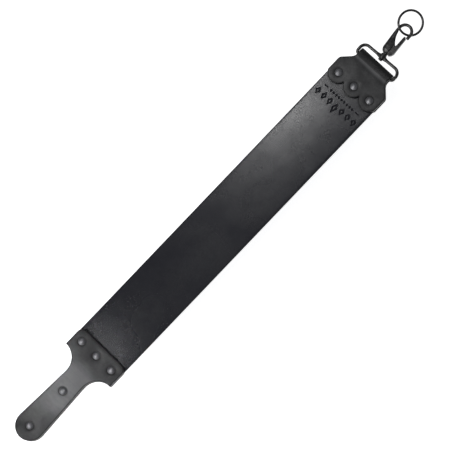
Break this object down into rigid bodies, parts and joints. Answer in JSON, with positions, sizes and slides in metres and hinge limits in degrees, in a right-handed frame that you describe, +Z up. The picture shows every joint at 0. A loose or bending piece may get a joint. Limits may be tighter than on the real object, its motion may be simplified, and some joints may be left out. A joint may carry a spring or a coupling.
{
  "type": "leather strop",
  "caption": "Hanging strop: a wide black leather strip with a riveted paddle handle, and a scalloped hanger folded round a swivel snap hook that holds a loose ring.",
  "frame": {"origin": "middle of the strop's outline, on the surface it lies on", "axes": "+X across the strop, to the right with the hook up; +Y along it towards the ring; +Z up out of the front face"},
  "size_m": [0.0772, 0.704, 0.0166],
  "materials": {
    "strip_leather": "smooth black leather with a low satin sheen",
    "trim_leather": "black leather with burnished edges and a soft satin sheen",
    "rivets": "polished gunmetal plating",
    "black_iron": "black oxide, satin, slightly rubbed",
    "spring_steel": "plain spring steel"
  },
  "bodies": {
    "strop": {"strop_strip": "strip_leather", "hanger_leather": "trim_leather", "handle_front": "trim_leather", "handle_back": "trim_leather", "handle_core": "trim_leather", "rivet_cap_1": "rivets", "rivet_cap_2": "rivets", "rivet_cap_3": "rivets", "rivet_cap_4": "rivets", "rivet_cap_5": "rivets", "rivet_cap_6": "rivets", "rivet_cap_7": "rivets", "rivet_cap_8": "rivets", "rivet_back_1": "rivets", "rivet_back_2": "rivets", "rivet_back_3": "rivets", "rivet_back_4": "rivets", "rivet_back_5": "rivets", "rivet_back_6": "rivets", "rivet_back_7": "rivets", "rivet_back_8": "rivets"},
    "strap_eye": {"snap_loop": "black_iron"},
    "snap": {"snap_body": "black_iron", "gate_spring": "spring_steel"},
    "gate": {"snap_gate": "black_iron", "gate_pin": "rivets"},
    "ring": {"hang_ring": "black_iron"}
  },
  "joints": [
    {"name": "eye_swing", "type": "hinge", "parent": "strop", "child": "strap_eye", "pos_m": [-0.0003, 0.26646, 0.0075], "axis": [0.9993, 0.0384, 0], "range_deg": [-105, 105]},
    {"name": "swivel", "type": "hinge", "parent": "strap_eye", "child": "snap", "pos_m": [-0.00091, 0.28245, 0.0075], "axis": [-0.0384, 0.9993, 0], "continuous": true},
    {"name": "gate_open", "type": "hinge", "parent": "snap", "child": "gate", "pos_m": [0.00262, 0.29459, 0.0075], "axis": [0, 0, 1], "range_deg": [0, 17], "stiffness_Nm_per_rad": 0.02, "springref_deg": -28.65, "deforming": ["gate_spring"]},
    {"name": "ring_swing", "type": "hinge", "parent": "snap", "child": "ring", "pos_m": [-0.00295, 0.33531, 0.0075], "axis": [-0.0384, 0.9993, 0], "range_deg": [0, 124]}
  ]
}
